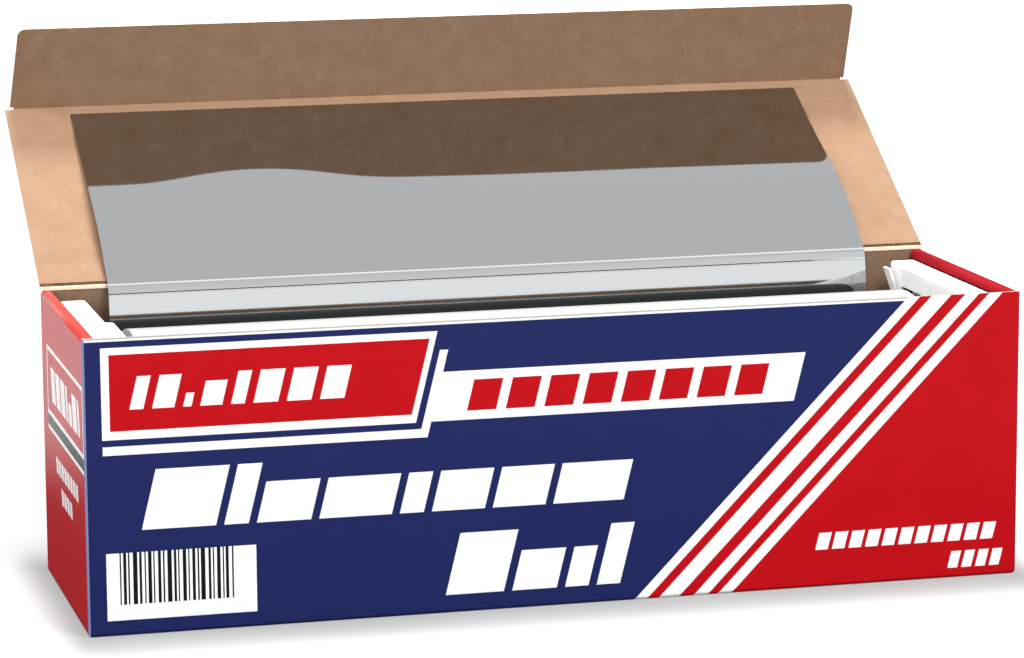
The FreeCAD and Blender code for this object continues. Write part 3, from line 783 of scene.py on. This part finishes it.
# How much further than its plain bulge the foil stands off the lid. Each swell is (middle, reach) and
# each ramp is (start, length), across the foil or up the lid.
RIGHT_LIFT, RIGHT_RAMP, RIGHT_UP = 0.7, (-20, 170), (30, 50)
BELLY, BELLY_UP = 0.55, (38, 34)
BELLY_TO_RIGHT, BELLY_RAMP = 0.35, (-60, 100)
BELLY_HUMP, HUMP_ACROSS = 0.3, (-10, 90)
BELLY_DIP, DIP_ACROSS = 0.95, (-85, 55)


def swell(value, middle, reach):
    """One at the middle, falling smoothly to nothing at the reach."""
    share = min(1, abs(value - middle) / reach)
    return math.cos(share * math.pi / 2) ** 2


def ramp(value, start, length):
    """Nothing up to the start, growing evenly to one over the length."""
    return max(0, min(1, (value - start) / length))


def extra_lift(across, up):
    belly = (BELLY + BELLY_TO_RIGHT * ramp(across, *BELLY_RAMP) + BELLY_HUMP * swell(across, *HUMP_ACROSS)
             - BELLY_DIP * swell(across, *DIP_ACROSS))
    lift = RIGHT_LIFT * ramp(across, *RIGHT_RAMP) * swell(up, *RIGHT_UP)
    return lift + belly * swell(up, *BELLY_UP)


def make_sheet():
    """The foil's free end: the last lap behind the roll, a slack rise with a faint score across it, the
    bend over the lid's crease, and the length over the lid, which bulges off it and lands on it."""
    wall = HALF_DEPTH - BOARD
    axis = Vector((0, 0, ROLL_AXIS_Z))
    lap = ROLL_RADIUS + SHEET_GAP
    slack = Vector((0, wall - SLACK_SETBACK, RIM - SLACK_DROP))
    bend = Vector((0, wall - BEND_SETBACK, RIM + BEND_RISE))
    score = Vector((0, wall - SCORE_SETBACK, RIM - SCORE_DROP))
    half_score = (bend - slack).normalized() * HALF_SCORE
    rise = [slack, score - half_score, score + Y * SCORE_DEPTH, score + half_score, bend]
    reach = slack - axis
    tangent = math.atan2(reach.z, reach.y) - math.acos(lap / reach.length)

    def off_inside(distance, lift):
        return HINGE + UP_LID * distance + OFF_LID * (BOARD + lift)

    bulge = off_inside(BULGE_PLACE, BULGE_LIFT)
    free_end = off_inside(SHEET_ON_LID, SHEET_GAP + SHEET_THICKNESS)
    start = tangent - SHEET_WRAP
    begin = axis + Vector((0, math.cos(start), math.sin(start))) * lap
    leave = axis + Vector((0, math.cos(tangent), math.sin(tangent))) * lap
    bm = bmesh.new()
    places = [begin + X * HALF_FOIL * (2 * column / SHEET_COLUMNS - 1)
              for column in range(SHEET_COLUMNS + 1)]
    row = [bm.verts.new(place) for place in places]
    first = [bm.edges.new(pair) for pair in zip(row, row[1:])]
    spun = bmesh.ops.spin(bm, geom=first, cent=axis, axis=X, dvec=(0, 0, 0), angle=SHEET_WRAP,
                          steps=WRAP_STEPS, use_duplicate=False)["geom_last"]
    edges = [item for item in spun if isinstance(item, bmesh.types.BMEdge)]
    radii = (SLACK_RADIUS, SCORE_RADIUS, SCORE_RADIUS, SCORE_RADIUS, BEND_RADIUS, BULGE_RADIUS)
    sweep_along(bm, edges, [leave, *rise, bulge, free_end], radii, X, CORNER_STEPS, pitch=SHEET_PITCH)
    for vert in bm.verts:
        if vert.co.z > RIM:
            vert.co += OFF_LID * extra_lift(vert.co.x, (vert.co - HINGE).dot(UP_LID))
    for face in bm.faces:
        face.smooth = True
    bmesh.ops.recalc_face_normals(bm, faces=bm.faces)
    piece = finish_piece(bm, "foil_free_end", [FOIL])
    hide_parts("foil_sheet")
    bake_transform(piece)
    return piece


# The winding's room round its core, and the rings of its ends, where the laps drift sideways
WINDING_GAP = 0.25
WINDING_RINGS, LAP_DRIFT = 14, 0.3
ROLL_STEPS = 96


def make_roll():
    """The wound foil, its ends stepped in rings where the laps drift sideways."""
    bm = bmesh.new()
    low, high = box_of("core_tube")
    bore = (high.z - low.z) / 2 + WINDING_GAP
    spots = []
    for index in range(WINDING_RINGS + 1):
        radius = bore + (ROLL_RADIUS - bore) * index / WINDING_RINGS
        spots.append((HALF_FOIL - (LAP_DRIFT if index % 2 else 0), radius))
    profile = [(-along, radius) for along, radius in spots]
    profile += [(along, radius) for along, radius in reversed(spots)]
    verts = [bm.verts.new((along, 0, radius)) for along, radius in profile]
    edges = [bm.edges.new(pair) for pair in zip(verts, verts[1:] + verts[:1])]
    bmesh.ops.spin(bm, geom=edges + verts, cent=(0, 0, 0), axis=X, dvec=(0, 0, 0), angle=2 * math.pi,
                   steps=ROLL_STEPS, use_merge=True, use_duplicate=False)
    bmesh.ops.remove_doubles(bm, verts=bm.verts, dist=SLIVER)
    bmesh.ops.recalc_face_normals(bm, faces=bm.faces)
    for face in bm.faces:
        face.smooth = True
        face.material_index = 1 if abs(face.normal.x) > 0.5 else 0
    bmesh.ops.translate(bm, verts=bm.verts, vec=(0, 0, ROLL_AXIS_Z))
    piece = finish_piece(bm, "wound_roll", [OUTER_LAP, WOUND], "carton")
    piece.data.set_sharp_from_angle(angle=math.radians(30))
    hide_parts("foil_roll")
    return piece


# The left support's ear, folded down towards the roll's end
EAR_LOW = Vector((-161.7, -46.0, 98.0))
EAR_HIGH = Vector((-157.4, 7.0, 104.1))
EAR_ROUNDING = 2.0


def make_folded_ear():
    bm = bmesh.new()
    bmesh.ops.create_cube(bm, size=1)
    bmesh.ops.scale(bm, vec=EAR_HIGH - EAR_LOW, verts=bm.verts)
    bmesh.ops.translate(bm, vec=(EAR_LOW + EAR_HIGH) / 2, verts=bm.verts)
    upright = [edge for edge in bm.edges if abs(edge.verts[0].co.z - edge.verts[1].co.z) > SLIVER]
    bmesh.ops.bevel(bm, geom=upright, offset=EAR_ROUNDING, affect="EDGES", segments=FOLD_SEGMENTS,
                    profile=0.5)
    return finish_piece(bm, "folded_ear", [CARD], "carton")


make_carton()
make_lid()
make_flap()
make_creases()
make_sheet()
make_roll()
make_folded_ear()
for node, material in (("end_support_left", CARD), ("end_support_right", CARD), ("core_tube", CORE)):
    mesh = frame["nodes"][node].data
    mesh.materials.clear()
    mesh.materials.append(material)


# Camera, worked out from the corners of the carton in the photograph
IMAGE_WIDTH = 1024
FOCAL_PIXELS = 3908.7
SENSOR_WIDTH = 36.0
CAMERA_PLACE = Vector((-373.9, -1410.2, 358.5))
CAMERA_YAW, CAMERA_PITCH, CAMERA_ROLL = 0.25493, 0.17885, -0.00576


def make_camera():
    data = bpy.data.cameras.new("camera")
    camera = bpy.data.objects.new("camera", data)
    bpy.context.scene.collection.objects.link(camera)
    data.sensor_width = SENSOR_WIDTH
    data.lens = FOCAL_PIXELS * SENSOR_WIDTH / IMAGE_WIDTH
    data.clip_start, data.clip_end = 0.01, 100
    ahead = Vector((math.sin(CAMERA_YAW) * math.cos(CAMERA_PITCH),
                    math.cos(CAMERA_YAW) * math.cos(CAMERA_PITCH), -math.sin(CAMERA_PITCH)))
    level = Vector((math.cos(CAMERA_YAW), -math.sin(CAMERA_YAW), 0))
    above = level.cross(ahead)
    right = level * math.cos(CAMERA_ROLL) + above * math.sin(CAMERA_ROLL)
    up = above * math.cos(CAMERA_ROLL) - level * math.sin(CAMERA_ROLL)
    turned = Matrix((right, up, -ahead)).transposed().to_4x4()
    camera.matrix_world = Matrix.Translation(CAMERA_PLACE * MM) @ turned
    bpy.context.scene.camera = camera


# How far the soft shade around the carton's foot reaches, at its ends and along its sides, in metres
FOOT_SHADE_ENDS, FOOT_SHADE_SIDES = 0.016, 0.045


def foot_shade(tree, place):
    """How much of the floor's light is left around the carton's foot."""
    parts = node_in(tree, "SeparateXYZ", {0: place}).outputs
    reaches = []
    for part, half, reach in (("X", HALF_LENGTH, FOOT_SHADE_ENDS), ("Y", HALF_DEPTH, FOOT_SHADE_SIDES)):
        off_middle = node_in(tree, "Math", {0: parts[part]}, operation="ABSOLUTE")
        reaches.append(node_in(tree, "MapRange", {"Value": off_middle.outputs[0], "From Min": half * MM,
                                                  "From Max": half * MM + reach}).outputs[0])
    off_foot = node_in(tree, "CombineXYZ", {0: reaches[0], 1: reaches[1]})
    distance = node_in(tree, "VectorMath", {0: off_foot.outputs[0]}, operation="LENGTH").outputs["Value"]
    # Painted shade, darkest at the carton's foot
    remaining = node_in(tree, "MapRange", {"Value": distance, "To Min": 0.55},
                        interpolation_type="SMOOTHSTEP")
    return remaining.outputs[0]


# How far the floor reaches each way from the carton, in metres
FLOOR_REACH = 6.0


def make_floor():
    """A white sweep that glows up to the horizon, with a painted soft shade around the carton's foot and a
    faint shadow beyond it. In mirrors it has a painted shade, darkening towards the carton."""
    bm = bmesh.new()
    bmesh.ops.create_grid(bm, x_segments=1, y_segments=1, size=FLOOR_REACH)
    mesh = bpy.data.meshes.new("floor")
    bm.to_mesh(mesh)
    bm.free()
    floor = bpy.data.objects.new("floor", mesh)
    bpy.context.scene.collection.objects.link(floor)
    material, tree = new_material("pale_studio_floor")
    rays = node_in(tree, "LightPath")
    place = node_in(tree, "TexCoord").outputs["Object"]
    distance = node_in(tree, "VectorMath", {0: place}, operation="LENGTH").outputs["Value"]
    shade = foot_shade(tree, place)
    glow = node_in(tree, "MapRange", {"Value": distance, "From Min": 0.25, "From Max": 0.8,
                                      "To Min": 0.72, "To Max": 1.0})
    shaded_glow = node_in(tree, "Math", {0: glow.outputs[0], 1: shade}, operation="MULTIPLY")
    shown = node_in(tree, "BsdfDiffuse", {"Color": colour("#959595")})
    lit = node_in(tree, "Emission", {"Color": (1, 1, 1, 1), "Strength": shaded_glow.outputs[0]})
    unshaded = node_in(tree, "AddShader", {0: shown.outputs[0], 1: lit.outputs[0]})
    white = node_in(tree, "MixShader", {0: shade, 1: lit.outputs[0], 2: unshaded.outputs[0]})
    # Painted shade in mirrors: the floor's glow falls near the carton
    near = node_in(tree, "MapRange", {"Value": distance, "From Min": 0.28, "From Max": 0.40,
                                      "To Min": 0.08, "To Max": 1.15})
    mirrored = node_in(tree, "Emission", {"Color": (1, 1, 1, 1), "Strength": near.outputs[0]})
    dark = node_in(tree, "BsdfDiffuse", {"Color": (0.13, 0.13, 0.13, 1)})
    unseen = node_in(tree, "MixShader", {0: rays.outputs["Is Glossy Ray"], 1: dark.outputs[0],
                                         2: mirrored.outputs[0]})
    surface = node_in(tree, "MixShader", {0: rays.outputs["Is Camera Ray"], 1: unseen.outputs[0],
                                          2: white.outputs[0]})
    close_material(tree, surface.outputs[0])
    mesh.materials.append(material)


# What mirrors see of the room: its brightness by the angle over the carton, in degrees from the back
# horizon over the zenith to the front horizon
MIRRORED_ROOM = ((0, 1.44), (35, 1.31), (60, 0.85), (95, 0.85), (101, 1.9), (109, 1.9), (117, 1.0),
                 (142, 1.0), (160, 1.44), (180, 1.44))


def make_world():
    """A white room: white behind everything, and in mirrors white at the sides and grey overhead with
    one long lamp."""
    world = bpy.data.worlds.new("studio")
    bpy.context.scene.world = world
    world.use_nodes = True
    tree = world.node_tree
    tree.nodes.clear()
    rays = node_in(tree, "LightPath")
    direction = node_in(tree, "TexCoord").outputs["Generated"]
    parts = node_in(tree, "SeparateXYZ", {0: direction}).outputs
    angle = node_in(tree, "Math", {0: parts["Z"], 1: parts["Y"]}, operation="ARCTAN2")
    share = node_in(tree, "Math", {0: angle.outputs[0], 1: math.pi}, operation="DIVIDE")
    room = node_in(tree, "ValToRGB", {"Fac": share.outputs[0]})
    stops = room.color_ramp.elements
    while len(stops) < len(MIRRORED_ROOM):
        stops.new(1.0)
    for stop, (degrees, brightness) in zip(stops, MIRRORED_ROOM):
        stop.position = degrees / 180
        stop.color = (brightness, brightness, brightness, 1)
    lit = node_in(tree, "Mix", {"Factor": rays.outputs["Is Glossy Ray"], "A": 0.1,
                                "B": room.outputs["Color"]})
    strength = node_in(tree, "Mix", {"Factor": rays.outputs["Is Camera Ray"], "A": lit.outputs[0], "B": 1.0})
    shader = node_in(tree, "Background", {"Color": (1, 1, 1, 1), "Strength": strength.outputs[0]})
    node_in(tree, "OutputWorld", {"Surface": shader.outputs[0]})


def add_lamp(name, place, target, width, height, power):
    data = bpy.data.lights.new(name, "AREA")
    data.shape = "RECTANGLE"
    data.size, data.size_y = width, height
    data.energy = power
    lamp = bpy.data.objects.new(name, data)
    bpy.context.scene.collection.objects.link(lamp)
    lamp.location = place
    lamp.rotation_euler = (Vector(target) - Vector(place)).to_track_quat("-Z", "Y").to_euler()
    lamp.visible_glossy = False


# Each lamp's name, place, target, width and height, in metres, and power in watts
LAMPS = (
    ("front_softbox", (0.8, -1.36, 1.75), (0, 0, 0.1), 1.1, 0.8, 53),
    ("low_front_fill", (-0.7, -1.7, 0.45), (0, 0, 0.06), 0.8, 0.4, 16),
    ("overhead_softbox", (0.0, 0.41, 1.8), (0, 0.1, 0.1), 0.45, 0.45, 27),
    ("side_softbox", (-1.9, 0.1, 1.1), (0, 0, 0.1), 0.9, 0.7, 28),
)


make_camera()
make_floor()
make_world()
for lamp in LAMPS:
    add_lamp(*lamp)
bpy.context.scene.view_settings.view_transform = "Standard"
